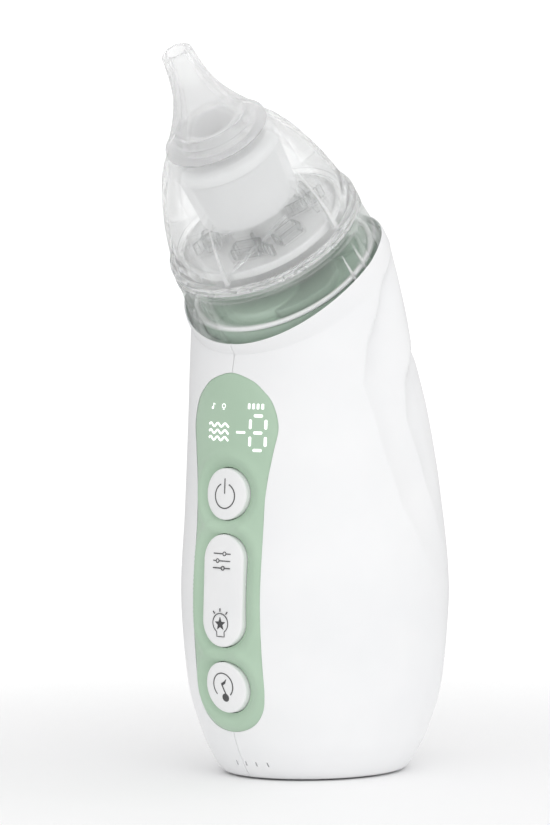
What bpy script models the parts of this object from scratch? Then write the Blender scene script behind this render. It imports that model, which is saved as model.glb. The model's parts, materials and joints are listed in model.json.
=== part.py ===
"""Electric nasal aspirator for babies: a hand-held vacuum pump with a clear collection cup and a soft nozzle.

Frame: metres, +Z up. The control panel faces -Y, X = 0 is the plane of symmetry, and the origin is the middle of the
foot pad on the table. The head is tilted forward and has a frame of its own: its origin is the middle of the flange
between the lower cup and the dome, its local Z runs along the head's axis and its local Y runs up the slope.
"""

import math

import bmesh
import bpy
from mathutils import Matrix, Vector
from mathutils.geometry import interpolate_bezier

MM = 0.001
GAP = 0.32 * MM  # clearance that touching faceted solids keep

# Housing stations from the foot to the rim: (front y, front z, back y, back z, half width), in millimetres.
# Each is an oval, whose plane turns from level at the foot to square with the head's axis at the rim.
STATIONS = [
    (-21.5, 0.4, 21.5, 0.4, 18.7),
    (-24.6, 1.8, 24.6, 1.8, 21.3),
    (-27.2, 5.4, 27.4, 5.4, 23.5),
    (-29.6, 10.5, 30.2, 10.5, 25.5),
    (-32.7, 22.0, 33.7, 22.0, 28.3),
    (-34.0, 42.0, 35.3, 46.0, 30.1),
    (-32.6, 62.0, 33.3, 68.0, 29.5),
    (-31.8, 82.0, 26.5, 91.0, 27.9),
    (-31.3, 93.0, 19.0, 112.0, 26.6),
    (-29.7, 101.3, 11.8, 132.0, 25.8),
]
LIP = (-29.6, 102.3, 10.8, 132.1, 25.1)  # the station on top of the rounded rim
AROUND = 28  # points round a housing section
WALL = 2.2 * MM
FLOOR_RING = 3  # the ring, counted from the foot, at which the hollow starts

TILT = math.radians(36.5)
FLANGE = Vector((0.0, -17.3, 127.9)) * MM
HEAD = Matrix.Translation(FLANGE) @ Matrix.Rotation(TILT, 4, "X")

# Control panel outline in XZ: (half width, z) from the bottom to the top, in millimetres.
PANEL = [(0.0, 11.4), (5.3, 13.3), (8.8, 16.5), (10.5, 21.0), (10.7, 30.0), (10.7, 62.0), (11.0, 70.5),
         (11.9, 78.5), (12.85, 84.6), (11.5, 90.0), (9.0, 93.2), (5.8, 95.5), (0.0, 97.0)]
PANEL_PROUD = 0.15 * MM
PANEL_THICK = 1.5 * MM

BUTTON_R = 6.1 * MM
BUTTON_PROUD = 0.6 * MM
CAP_THICK = 2.2 * MM
POWER_Z, ROCKER_Z, MUSIC_Z = 68.5 * MM, 45.7 * MM, 22.7 * MM
ROCKER_HALF = 13.3 * MM
ROCKER_ARM = 9.0 * MM
ROCKER_PIVOT_DEPTH = 2.5 * MM
BUTTONS = {"power": (POWER_Z, BUTTON_R), "rocker": (ROCKER_Z, ROCKER_HALF), "music": (MUSIC_Z, BUTTON_R)}

BOARD_FRONT = -25.2 * MM
BOARD_BACK = -24.0 * MM
SWITCH_FRONT = BOARD_FRONT - GAP - 2.9 * MM
PLUNGER_FRONT = SWITCH_FRONT - 1.0 * MM
SWITCHES = {"power": POWER_Z, "mode": ROCKER_Z + ROCKER_ARM, "light": ROCKER_Z - ROCKER_ARM, "music": MUSIC_Z}

PUMP_Y = -9.3 * MM
PUMP_SCREW_R = 10.2 * MM
PUMP_SCREW_ANGLES = (30, 150, 270)
BARB_X = 4.5 * MM
BARB_R = 1.4 * MM
HOSE_BORE_R = 1.75 * MM
BATTERY_Y = 17.4 * MM
USB_Z = 12.0 * MM
SPEAKER_Y = -13.0 * MM


# ------------------------------------------------------------------ scene and materials

def clear_scene():
    for obj in list(bpy.data.objects):
        bpy.data.objects.remove(obj)


def new_collection(name):
    made = bpy.data.collections.new(name)
    bpy.context.scene.collection.children.link(made)
    return made


def material(name, colour, roughness=0.5, metallic=0.0, alpha=1.0):
    made = bpy.data.materials.new(name)
    made.use_nodes = True
    shader = made.node_tree.nodes["Principled BSDF"]
    shader.inputs["Base Color"].default_value = (*colour, 1.0)
    shader.inputs["Roughness"].default_value = roughness
    shader.inputs["Metallic"].default_value = metallic
    shader.inputs["Alpha"].default_value = alpha
    return made


clear_scene()
PARTS = new_collection("nasal_aspirator")
CUTTERS = new_collection("cutters")
WHITE = material("white_abs", (0.86, 0.86, 0.87), 0.35)
SAGE = material("sage_soft_touch", (0.45, 0.60, 0.46), 0.55)
DECK_GREEN = material("deck_green", (0.26, 0.34, 0.28), 0.4)
CLEAR = material("clear_copolyester", (0.95, 0.97, 0.97), 0.05, alpha=0.3)
FROSTED = material("frosted_silicone", (0.82, 0.83, 0.84), 0.45, alpha=0.85)
SILICONE = material("clear_silicone", (0.92, 0.92, 0.93), 0.3, alpha=0.6)
RUBBER = material("rubber", (0.25, 0.26, 0.26), 0.8)
STEEL = material("steel", (0.6, 0.6, 0.62), 0.35, metallic=1.0)
BOARD = material("circuit_board", (0.05, 0.22, 0.12), 0.5)
DARK = material("dark_plastic", (0.06, 0.06, 0.065), 0.5)
CELL = material("battery_wrap", (0.12, 0.2, 0.42), 0.4)
WINDING = material("winding_and_magnet", (0.4, 0.22, 0.12), 0.5)


# ------------------------------------------------------------------ making shapes

def add_object(name, bm, finish=None):
    """Links a bmesh as a part if it has a material, and as a cutter if it has none."""
    bmesh.ops.remove_doubles(bm, verts=bm.verts, dist=1e-6)
    bmesh.ops.recalc_face_normals(bm, faces=bm.faces)
    mesh = bpy.data.meshes.new(name)
    bm.to_mesh(mesh)
    bm.free()
    obj = bpy.data.objects.new(name, mesh)
    if finish is None:
        CUTTERS.objects.link(obj)
        obj.hide_render = True
        obj.display_type = "WIRE"
        return obj
    PARTS.objects.link(obj)
    mesh.materials.append(finish)
    mesh.shade_smooth()
    mesh.set_sharp_from_angle(angle=math.radians(40))
    return obj


def boolean(obj, cutter, operation="DIFFERENCE"):
    modifier = obj.modifiers.new(operation.title(), "BOOLEAN")
    modifier.object = cutter
    modifier.operation = operation
    modifier.solver = "EXACT"
    return obj


def set_origin(obj, point):
    """Moves the object's origin to a point and leaves its shape where it is."""
    obj.data.transform(Matrix.Translation(-Vector(point)))
    obj.location = point


def taken_mesh(obj):
    """The evaluated object as a bmesh in world space. The object itself is removed."""
    bpy.context.view_layer.update()
    graph = bpy.context.evaluated_depsgraph_get()
    mesh = bpy.data.meshes.new_from_object(obj.evaluated_get(graph))
    bm = bmesh.new()
    bm.from_mesh(mesh)
    bm.transform(obj.matrix_world)
    bpy.data.meshes.remove(mesh)
    bpy.data.objects.remove(obj)
    return bm


def loft(name, rings, finish=None):
    """A closed solid through rings of points, which all have the same number of points."""
    bm = bmesh.new()
    made = [[bm.verts.new(p) for p in ring] for ring in rings]
    for low, high in zip(made, made[1:]):
        for i in range(len(low)):
            j = (i + 1) % len(low)
            bm.faces.new((low[i], low[j], high[j], high[i]))
    bm.faces.new(made[0])
    bm.faces.new(made[-1])
    return add_object(name, bm, finish)


def box(name, low, high, finish=None, bevel=0.0, place=None):
    """A box from corner to corner, given in millimetres."""
    low, high = Vector(low) * MM, Vector(high) * MM
    bm = bmesh.new()
    bmesh.ops.create_cube(bm, size=1.0)
    bmesh.ops.scale(bm, vec=high - low, verts=bm.verts)
    bmesh.ops.translate(bm, vec=(low + high) / 2, verts=bm.verts)
    if bevel:
        bmesh.ops.bevel(bm, geom=list(bm.edges), offset=bevel, segments=1, profile=0.5, affect="EDGES")
    obj = add_object(name, bm, finish)
    obj.matrix_world = place or Matrix.Identity(4)
    return obj


def cylinder(name, radius, start, end, finish=None, sides=16):
    """A cylinder from the point start to the point end."""
    start, end = Vector(start), Vector(end)
    along = end - start
    bm = bmesh.new()
    bmesh.ops.create_cone(bm, cap_ends=True, segments=sides, radius1=radius, radius2=radius, depth=along.length)
    bm.transform(Matrix.Translation((start + end) / 2) @ along.to_track_quat("Z", "Y").to_matrix().to_4x4())
    return add_object(name, bm, finish)


def turned(name, profile, finish=None, place=None, steps=32):
    """A profile of (radius, height) in millimetres, turned about Z. It is a loop, or runs from the axis to the axis."""
    bm = bmesh.new()
    points = [bm.verts.new((r * MM, 0.0, z * MM)) for r, z in profile]
    for a, b in zip(points, points[1:]):
        bm.edges.new((a, b))
    if profile[0][0] or profile[-1][0]:
        bm.edges.new((points[-1], points[0]))
    mesh = bpy.data.meshes.new(name)
    bm.to_mesh(mesh)
    bm.free()
    obj = bpy.data.objects.new(name + "_profile", mesh)
    CUTTERS.objects.link(obj)
    screw = obj.modifiers.new("Turn", "SCREW")
    screw.steps = steps
    screw.render_steps = steps
    screw.use_merge_vertices = True
    screw.merge_threshold = 1e-6
    made = add_object(name, taken_mesh(obj), finish)
    made.matrix_world = place or Matrix.Identity(4)
    return made


def tube(name, points, radius, finish=None):
    """A round bar along a line of points."""
    curve = bpy.data.curves.new(name, "CURVE")
    curve.dimensions = "3D"
    curve.bevel_depth = radius
    curve.bevel_resolution = 2
    curve.use_fill_caps = True
    spline = curve.splines.new("POLY")
    spline.points.add(len(points) - 1)
    for point, co in zip(spline.points, points):
        point.co = (*co, 1.0)
    obj = bpy.data.objects.new(name + "_line", curve)
    CUTTERS.objects.link(obj)
    return add_object(name, taken_mesh(obj), finish)


def spline_points(knots, steps):
    """Catmull-Rom points through the knots, which are tuples of numbers."""
    ends = [knots[0], *knots, knots[-1]]
    found = []
    for a, b, c, d in zip(ends, ends[1:], ends[2:], ends[3:]):
        for step in range(steps):
            t = step / steps
            found.append(tuple(
                0.5 * (2 * q + (r - p) * t + (2 * p - 5 * q + 4 * r - s) * t * t + (3 * q - p - 3 * r + s) * t ** 3)
                for p, q, r, s in zip(a, b, c, d)))
    return [*found, tuple(knots[-1])]


def prism(name, outline, low, high, finish=None, axis="Y"):
    """An outline of (x, z) points pushed along Y, or of (x, y) points pushed along Z, from low to high."""
    bm = bmesh.new()
    if axis == "Y":
        face = bm.faces.new([bm.verts.new((x, low, z)) for x, z in outline])
        push = (0.0, high - low, 0.0)
    else:
        face = bm.faces.new([bm.verts.new((x, y, low)) for x, y in outline])
        push = (0.0, 0.0, high - low)
    new = bmesh.ops.extrude_face_region(bm, geom=[face])["geom"]
    bmesh.ops.translate(bm, vec=push, verts=[part for part in new if isinstance(part, bmesh.types.BMVert)])
    return add_object(name, bm, finish)


def pill(half_width, half_height, centre_z, sides=24):
    """Points of an upright pill in XZ: a circle if its half height equals its half width."""
    straight = half_height - half_width
    points = []
    for i in range(sides):
        angle = 2 * math.pi * (i + 0.5) / sides
        z = half_width * math.sin(angle) + math.copysign(straight, math.sin(angle))
        points.append((half_width * math.cos(angle), centre_z + z))
    return points


def oval(half_width, half_depth, sides=28):
    angles = [2 * math.pi * i / sides for i in range(sides)]
    return [(half_width * math.sin(a), half_depth * math.cos(a)) for a in angles]


# ------------------------------------------------------------------ the housing's form

def section(station, grow):
    """One oval of the housing, moved out by grow."""
    front = Vector((0.0, station[0], station[1])) * MM
    back = Vector((0.0, station[2], station[3])) * MM
    depth = (back - front).length / 2 + grow
    along = (back - front).normalized()
    width = station[4] * MM + grow
    return [(front + back) / 2 + Vector((x, 0.0, 0.0)) + along * y for x, y in oval(width, -depth, AROUND)]


def housing_rings(grow=0.0):
    return [section(station, grow) for station in [*spline_points(STATIONS, 2), LIP]]


def hollow_rings():
    """Rings of the space inside the walls, from the floor to above the rim."""
    rings = housing_rings(-WALL)
    floor = housing_rings(-WALL - 1.5 * MM)[FLOOR_RING]
    up = HEAD.to_3x3() @ Vector((0.0, 0.0, 3.0 * MM))
    return [floor, *rings[FLOOR_RING + 1:], [point + up for point in rings[-1]]]


def front_y(z):
    """y of the housing's front line at height z."""
    stations = spline_points(STATIONS, 4)
    for low, high in zip(stations, stations[1:]):
        if low[1] * MM <= z <= high[1] * MM:
            share = (z - low[1] * MM) / ((high[1] - low[1]) * MM)
            return (low[0] + share * (high[0] - low[0])) * MM
    return stations[-1][0] * MM


def panel_outline(grow):
    right = [((x * MM + grow) if x else 0.0, z * MM) for x, z in PANEL]
    right[0] = (0.0, right[0][1] - grow)
    right[-1] = (0.0, right[-1][1] + grow)
    mirrored = [(-x, z) for x, z in reversed(right[1:-1])]
    around = spline_points([mirrored[-1], *right, mirrored[0]], 2)[2:-2]
    return around + [(-x, z) for x, z in reversed(around[1:-1])]


# ------------------------------------------------------------------ the housing's pieces

def make_shells():
    """Both halves of the housing, with the panel window, the foot recess, the sound slots and the USB slot."""
    cutters = [
        prism("panel_window", panel_outline(GAP), -60 * MM, -24 * MM),
        prism("foot_recess", oval(17.2 * MM + GAP, 20.0 * MM + GAP), -1.0 * MM, 1.0 * MM + GAP, axis="Z"),
        prism("usb_slot", [(z - USB_Z, x + USB_Z) for x, z in pill(2.3 * MM, 5.6 * MM, USB_Z, 16)], 24 * MM, 60 * MM),
    ]
    for x in (-4.3, -1.45, 1.45, 4.3):
        slot = prism("sound_slot", pill(0.6 * MM, 1.1 * MM, 4.0 * MM, 8), -45 * MM, -20 * MM)
        slot.location.x = x * MM
        cutters.append(slot)
    hollow = loft("hollow", hollow_rings())
    for side, name in ((-1, "shell_left"), (1, "shell_right")):
        shell = boolean(loft(name, housing_rings(), WHITE), hollow)
        near, far = sorted((side * GAP / MM / 2, side * 60.0))
        boolean(shell, box("half_space", (near, -60, -5), (far, 60, 150)), "INTERSECT")
        for cutter in cutters:
            boolean(shell, cutter)


def make_panel():
    """The soft panel that fills the window, with a hole for each button."""
    panel = prism("control_panel", panel_outline(0.0), -60 * MM, -24 * MM, SAGE)
    boolean(panel, loft("panel_front", housing_rings(PANEL_PROUD)), "INTERSECT")
    boolean(panel, loft("panel_back", housing_rings(PANEL_PROUD - PANEL_THICK)))
    for centre, half in BUTTONS.values():
        boolean(panel, prism("button_hole", pill(BUTTON_R + GAP, half + GAP, centre), -60 * MM, -20 * MM))


def switch_names(button):
    return ("mode", "light") if button == "rocker" else (button,)


def make_buttons():
    """Each button is a cap that follows the housing's front, with a post behind it for each switch."""
    for name, (centre, half) in BUTTONS.items():
        cap = prism("button_" + name, pill(BUTTON_R, half, centre), -60 * MM, -24 * MM, WHITE)
        boolean(cap, loft("cap_front", housing_rings(BUTTON_PROUD)), "INTERSECT")
        boolean(cap, loft("cap_back", housing_rings(BUTTON_PROUD - CAP_THICK)))
        for switch in switch_names(name):
            z = SWITCHES[switch]
            start = front_y(z) + CAP_THICK - BUTTON_PROUD - 0.5 * MM
            post = cylinder("post", 1.9 * MM, (0, start, z), (0, PLUNGER_FRONT - GAP, z))
            boolean(cap, post, "UNION")
        set_origin(cap, (0.0, front_y(centre) + (ROCKER_PIVOT_DEPTH if name == "rocker" else 0.0), centre))


def make_board():
    """The control board behind the panel, with its switches, their plungers, the display and the screws."""
    board = box("control_board", (-8.5, BOARD_FRONT / MM, 15), (8.5, BOARD_BACK / MM, 94), BOARD)
    for name, z in SWITCHES.items():
        at = z / MM
        body = box("switch_" + name, (-3, SWITCH_FRONT / MM, at - 3), (3, (BOARD_FRONT - GAP) / MM, at + 3), DARK)
        boolean(body, cylinder("plunger_hole", 1.7 * MM, (0, SWITCH_FRONT - MM, z), (0, SWITCH_FRONT + 1.4 * MM, z)))
        cylinder("plunger_" + name, 1.3 * MM, (0, PLUNGER_FRONT, z), (0, SWITCH_FRONT + 0.5 * MM, z), RUBBER, 12)
    front = BOARD_FRONT - GAP
    box("display_module", (-7.8, front / MM - 1.6, 76), (7.8, front / MM, 91), WHITE, 0.3 * MM)
    for number, z in enumerate((31 * MM, 60 * MM), 1):
        x = 6.3 * MM
        boolean(board, cylinder("screw_hole", 1.35 * MM, (x, BOARD_FRONT - MM, z), (x, BOARD_BACK + MM, z)))
        screw = cylinder(f"board_screw_{number}", 1.9 * MM, (x, front - 1.2 * MM, z), (x, front, z), STEEL)
        shank = cylinder("screw_shank", 1.0 * MM, (x, front - 0.5 * MM, z), (x, BOARD_BACK + 0.3 * MM, z), sides=10)
        boolean(screw, shank, "UNION")


def make_foot():
    prism("foot_pad", oval(17.2 * MM, 20.0 * MM), 0.0, 1.0 * MM, RUBBER, axis="Z")


# ------------------------------------------------------------------ pump, battery and electrics

def make_motor():
    """Brushed motor: its can, end cap and magnet, and the armature, shaft and eccentric wheel that turn."""
    at = Matrix.Translation((0.0, PUMP_Y, 0.0))
    turned("motor_can", [(11.5, 14.0), (11.5, 40.0), (2.2, 40.0), (2.2, 38.8), (10.7, 38.8), (10.7, 14.0)], STEEL, at)
    turned("motor_end_cap", [(10.3, 14.3), (10.3, 16.3), (1.5, 16.3), (1.5, 14.3)], DARK, at, 24)
    turned("motor_magnet", [(10.3, 17.0), (10.3, 36.0), (9.0, 36.0), (9.0, 17.0)], WINDING, at, 24)
    turned("motor_armature", [(8.4, 18.5), (8.4, 34.5), (1.4, 34.5), (1.4, 18.5)], WINDING, at, 20)
    turned("motor_shaft", [(0.0, 45.2), (1.0, 45.2), (1.0, 12.8), (0.0, 12.8)], STEEL, at, 12)
    wheel = turned("eccentric_wheel", [(5.2, 43.0), (5.2, 47.0), (1.4, 47.0), (1.4, 43.0)], WHITE, at, 20)
    pin = cylinder("crank_pin", 0.7 * MM, (3.2 * MM, PUMP_Y, 46 * MM), (3.2 * MM, PUMP_Y, 50.3 * MM), sides=10)
    boolean(wheel, pin, "UNION")


def pump_screw_spots():
    for degrees in PUMP_SCREW_ANGLES:
        angle = math.radians(degrees)
        yield PUMP_SCREW_R * math.cos(angle), PUMP_Y + PUMP_SCREW_R * math.sin(angle)


def make_pump():
    """Diaphragm pump on top of the motor, held together by three screws, in a soft sleeve."""
    at = Matrix.Translation((0.0, PUMP_Y, 0.0))
    case = turned("pump_crankcase", [(13.0, 40.5), (13.0, 54.0), (8.5, 54.0), (8.5, 42.2), (2.4, 42.2), (2.4, 40.5)],
                  DARK, at)
    turned("wobble_plate", [(7.9, 51.0), (7.9, 53.0), (1.0, 53.0), (1.0, 51.0)], WHITE, at, 20)
    diaphragm = turned("diaphragm", [(0.0, 56.6), (12.8, 56.6), (12.8, 54.4), (8.1, 54.4), (7.9, 53.4), (0.0, 53.4)],
                       SILICONE, at)
    plate = cylinder("valve_plate", 12.8 * MM, (0, PUMP_Y, 57 * MM), (0, PUMP_Y, 58.9 * MM), DARK, 32)
    head = cylinder("pump_head", 13.0 * MM, (0, PUMP_Y, 59.3 * MM), (0, PUMP_Y, 64.2 * MM), DARK, 32)
    for piece, low, high in ((case, 46, 56), (diaphragm, 53, 58), (plate, 55, 60), (head, 58, 66)):
        for x, y in pump_screw_spots():
            boolean(piece, cylinder("pump_screw_hole", 1.35 * MM, (x, y, low * MM), (x, y, high * MM), sides=12))
    for number, (x, y) in enumerate(pump_screw_spots(), 1):
        screw = cylinder(f"pump_screw_{number}", 2.0 * MM, (x, y, 64.6 * MM), (x, y, 66.0 * MM), STEEL)
        boolean(screw, cylinder("pump_shank", 1.0 * MM, (x, y, 46.6 * MM), (x, y, 65.2 * MM), sides=10), "UNION")
    for x in (-BARB_X, BARB_X):
        boolean(head, cylinder("barb", BARB_R, (x, PUMP_Y, 63 * MM), (x, PUMP_Y, 70 * MM), sides=14), "UNION")
        boolean(head, cylinder("barb_bore", 0.7 * MM, (x, PUMP_Y, 62 * MM), (x, PUMP_Y, 71 * MM), sides=10))
    turned("pump_sleeve", [(14.3, 18.0), (14.3, 50.0), (13.4, 50.0), (13.4, 40.1), (11.9, 40.1), (11.9, 18.0)], RUBBER,
           at)
    silencer = cylinder("exhaust_silencer", 3.4 * MM, (BARB_X, PUMP_Y, 64.6 * MM), (BARB_X, PUMP_Y, 75 * MM), RUBBER, 20)
    boolean(silencer, cylinder("silencer_bore", HOSE_BORE_R, (BARB_X, PUMP_Y, 60 * MM), (BARB_X, PUMP_Y, 73 * MM)))


def make_hose():
    """The suction hose from the pump's inlet barb to the spigot under the deck."""
    start = Vector((-BARB_X, PUMP_Y, 64.6 * MM))
    end = HEAD @ Vector((0.0, 0.0, -18.0 * MM))
    down = HEAD.to_3x3() @ Vector((0.0, 0.0, -1.0))
    low, high = start + Vector((0.0, 0.0, 7.0)) * MM, end + down * 7 * MM
    bend = 13 * MM
    line = [start, *interpolate_bezier(low, low + Vector((0.0, 0.0, bend)), high + down * bend, high, 10), end]
    hose = tube("suction_hose", line, 2.7 * MM, SILICONE)
    longer = [line[0] * 2 - line[1], *line, line[-1] * 2 - line[-2]]
    boolean(hose, tube("hose_bore", longer, HOSE_BORE_R))


def make_power():
    """The battery in its holder, the frame between it and the pump, the charging board and port, and the speaker."""
    at = Matrix.Translation((0.0, BATTERY_Y, 0.0))
    turned("battery_cell", [(0.0, 79.6), (2.6, 79.6), (2.6, 79.0), (9.1, 79.0), (9.1, 14.4), (0.0, 14.4)], CELL, at, 24)
    turned("battery_holder", [(10.4, 22.0), (10.4, 66.0), (9.45, 66.0), (9.45, 22.0)], DARK, at, 24)
    frame = box("inner_frame", (-16, 5.4, 15), (16, 6.5, 86), WHITE)
    for z in (30, 56):
        boolean(frame, box("frame_window", (-6, 4, z - 6), (6, 9, z + 8)))
    usb = USB_Z / MM
    box("charging_board", (-7, 9, usb - 3.2), (7, 24.5, usb - 2.0), BOARD)
    port = box("usb_c_port", (-4.5, 22.5, usb - 1.6), (4.5, 30.0, usb + 1.6), STEEL)
    boolean(port, box("usb_mouth", (-4.0, 24.0, usb - 1.1), (4.0, 31.0, usb + 1.1)))
    boolean(port, box("usb_tongue", (-3.2, 23.0, usb - 0.35), (3.2, 29.2, usb + 0.35)), "UNION")
    turned("speaker", [(0.0, 8.2), (3.4, 8.2), (3.4, 7.2), (8.0, 7.2), (8.0, 4.2), (0.0, 4.2)], DARK,
           Matrix.Translation((0.0, SPEAKER_Y, 0.0)), 24)


# ------------------------------------------------------------------ head

def make_deck():
    """The deck that closes the housing, with its suction port and hose spigot, its seal, and the light board."""
    turned("deck", [(0.75, -5.0), (3.6, -5.0), (4.1, -5.4), (4.1, -8.5), (11.0, -8.7), (17.0, -9.1), (20.6, -9.8),
                    (21.1, -10.4), (22.4, -10.4), (22.4, -17.5), (BARB_R / MM, -17.5), (BARB_R / MM, -23.0),
                    (0.75, -23.0)], DECK_GREEN, HEAD)
    turned("cup_seal", [(22.6, -9.3), (22.6, -10.1), (21.6, -10.1), (21.6, -9.3)], SILICONE, HEAD)
    turned("light_board", [(15.5, -17.9), (15.5, -19.0), (8.8, -19.0), (8.8, -17.9)], BOARD, HEAD, 24)


def make_cup():
    """The clear lower cup with its floor and the collar that fits over the suction port, and the seal on top of it."""
    turned("lower_cup", [(23.9, 1.0), (23.9, 0.0), (23.6, -0.5), (24.2, -6.5), (24.9, -12.6), (23.4, -12.6),
                         (22.7, -6.5), (21.9, -2.7), (5.9, -2.7), (5.9, -8.0), (4.5, -8.0), (4.5, -1.4), (20.9, -1.4),
                         (21.9, -0.4), (22.0, 1.0)], CLEAR, HEAD, 40)
    turned("dome_seal", [(23.6, 2.3), (23.6, 1.35), (21.6, 1.35), (21.6, 2.3)], SILICONE, HEAD, 40)


def make_separator():
    """The clear separator in the cup: a standpipe, a tray, and four vanes that stop the fluid."""
    body = turned("separator", [(4.8, 9.6), (6.4, 9.6), (7.0, 4.4), (19.8, 4.4), (19.8, 3.0), (6.2, 3.0), (6.2, -1.05),
                                (4.8, -1.05)], CLEAR, HEAD, 28)
    for degrees in (25, 115, 205, 295):
        place = HEAD @ Matrix.Rotation(math.radians(degrees), 4, "Z")
        boolean(body, box("vane", (6.1, -0.6, 4.0), (17.5, 0.6, 7.6), place=place), "UNION")


def make_dome():
    """The clear dome with a neck for the nozzle, and the frosted duct that hangs in it."""
    outer = [(8.4, 35.2), (8.6, 34.8), (8.6, 30.9), (12.3, 30.6), (13.9, 29.5), (15.9, 27.0), (18.1, 23.0), (20.1, 18.0),
             (21.6, 13.0), (22.6, 8.0), (23.1, 4.5), (23.8, 4.0), (23.8, 2.65)]
    inner = [(21.3, 2.65), (21.0, 7.6), (20.0, 12.5), (18.5, 17.3), (16.6, 21.9), (14.5, 25.7), (13.0, 27.8),
             (11.6, 28.9), (7.4, 29.1), (7.4, 35.2)]
    turned("dome", outer + inner, CLEAR, HEAD, 40)
    turned("inner_duct", [(5.8, 35.2), (7.0, 35.2), (7.0, 28.7), (11.2, 28.2), (12.6, 26.6), (13.1, 25.0),
                          (12.2, 11.7), (11.0, 11.7), (11.8, 24.4), (11.2, 26.0), (10.4, 27.0), (5.8, 27.4)],
           FROSTED, HEAD)


def make_nozzle():
    outer = [(3.2, 55.8), (3.65, 55.2), (4.0, 52.7), (4.5, 48.9), (5.4, 45.0), (7.0, 41.0), (9.2, 37.0), (11.4, 33.6),
             (12.7, 32.1), (12.6, 31.3)]
    inner = [(9.0, 31.3), (9.0, 35.6), (8.0, 36.0), (6.9, 37.6), (5.2, 40.8), (3.8, 44.6), (2.9, 48.4), (2.2, 52.4),
             (2.0, 55.8)]
    turned("nozzle", outer + inner, SILICONE, HEAD)


make_shells()
make_foot()
make_panel()
make_buttons()
make_board()
make_motor()
make_pump()
make_hose()
make_power()
make_deck()
make_cup()
make_separator()
make_dome()
make_nozzle()
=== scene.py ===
"""Look of the electric nasal aspirator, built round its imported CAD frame.

Shapes are in millimetres, and MM turns them into the frame's metres. +Z is up, the panel faces -Y, X = 0 is
the plane of symmetry and Z = 0 is the table. The head has a frame of its own: its origin is in the middle of
the flange, its Z runs along the head's axis and its Y up the slope.
"""

import json
import math

import bmesh
import bpy
from mathutils import Matrix, Vector
from mathutils.bvhtree import BVHTree


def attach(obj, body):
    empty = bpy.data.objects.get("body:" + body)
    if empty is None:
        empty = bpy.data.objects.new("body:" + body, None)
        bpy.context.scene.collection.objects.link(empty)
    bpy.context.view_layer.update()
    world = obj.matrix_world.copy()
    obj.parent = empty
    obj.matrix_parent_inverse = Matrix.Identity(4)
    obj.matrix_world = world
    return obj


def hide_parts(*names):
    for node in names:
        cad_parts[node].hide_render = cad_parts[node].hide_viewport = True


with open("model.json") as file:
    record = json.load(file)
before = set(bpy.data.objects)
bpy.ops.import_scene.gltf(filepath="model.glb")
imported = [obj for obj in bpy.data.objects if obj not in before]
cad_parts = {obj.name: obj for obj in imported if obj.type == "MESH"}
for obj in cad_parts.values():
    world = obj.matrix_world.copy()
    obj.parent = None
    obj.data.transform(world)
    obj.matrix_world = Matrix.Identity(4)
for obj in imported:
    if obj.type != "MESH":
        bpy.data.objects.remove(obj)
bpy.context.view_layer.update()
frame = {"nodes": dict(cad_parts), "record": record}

MM = 0.001
# The housing's ovals from foot to rim: y and z of the front, y and z of the back, and half the width.
STATIONS = [
    (-22.3, 0.3, 22.3, 0.3, 19.3),
    (-24.3, 1.1, 24.3, 1.1, 21.05),
    (-27.2, 5.4, 27.4, 5.4, 23.5),
    (-29.6, 10.5, 30.2, 10.5, 25.5),
    (-33.1, 22.0, 33.7, 22.0, 28.3),
    (-34.7, 42.0, 35.3, 46.0, 30.1),
    (-33.3, 62.0, 33.3, 68.0, 29.5),
    (-32.2, 82.0, 26.5, 91.0, 27.9),
    (-31.3, 93.0, 19.0, 112.0, 26.6),
    (-29.7, 101.3, 11.8, 132.0, 25.8),
]
# The right half of the panel's outline, from the bottom up: x and z.
PANEL = [(0.0, 11.9), (5.2, 13.1), (8.6, 16.2), (10.1, 20.8), (10.3, 30.0), (10.3, 62.0), (10.7, 70.5),
         (11.9, 78.5), (12.85, 84.6), (11.5, 90.0), (9.0, 93.2), (5.8, 95.5), (0.0, 97.0)]
TILT = math.radians(36.5)
HEAD = Matrix.Translation(Vector((0.0, -17.3, 127.9)) * MM) @ Matrix.Rotation(TILT, 4, "X")
BUTTON_R = 6.1
POWER_Z, ROCKER_Z, MUSIC_Z = 68.5, 45.7, 22.7
ROCKER_HALF = 13.3  # half the length of the two-way button
BUTTONS = {"power": (POWER_Z, BUTTON_R), "rocker": (ROCKER_Z, ROCKER_HALF), "music": (MUSIC_Z, BUTTON_R)}
BUTTON_BODY = {"power": "power_button", "rocker": "rocker_button", "music": "music_button"}
CAP_PROUD = 0.28  # how far the caps and the panel stand out of the housing's surface
PANEL_PROUD = 0.12
INK = 0.08  # how far a sign stands out of what it is on, and how far it goes in


# ------------------------------------------------------------------ materials

def node(tree, kind, links=None, **values):
    """Adds a node: values are its settings, and links gives each input a number or another node's output."""
    made = tree.nodes.new(kind)
    for key, value in values.items():
        setattr(made, key, value)
    for socket, value in (links or {}).items():
        if isinstance(value, bpy.types.NodeSocket):
            tree.links.new(value, made.inputs[socket])
        else:
            made.inputs[socket].default_value = value
    return made


def surface_height(tree, place, marks, grain):
    """A height for the bump: brushed lines, board tracks, windings, or a fine moulded grain."""
    if marks == "brushed":
        stretch = node(tree, "ShaderNodeMapping", {"Vector": place, "Scale": (1.0, 1.0, 0.04)})
        lines = node(tree, "ShaderNodeTexNoise", {"Vector": stretch.outputs["Vector"], "Scale": grain * 3})
        return lines.outputs["Fac"]
    if marks == "tracks":
        cells = node(tree, "ShaderNodeTexVoronoi", {"Vector": place, "Scale": 420.0}, distance="MANHATTAN")
        return cells.outputs["Distance"]
    if marks == "windings":
        turns = node(tree, "ShaderNodeTexWave", {"Vector": place, "Scale": 500.0, "Distortion": 0.6},
                     bands_direction="Z")
        return turns.outputs["Fac"]
    return node(tree, "ShaderNodeTexNoise", {"Vector": place, "Scale": grain, "Detail": 2.0}).outputs["Fac"]


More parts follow.
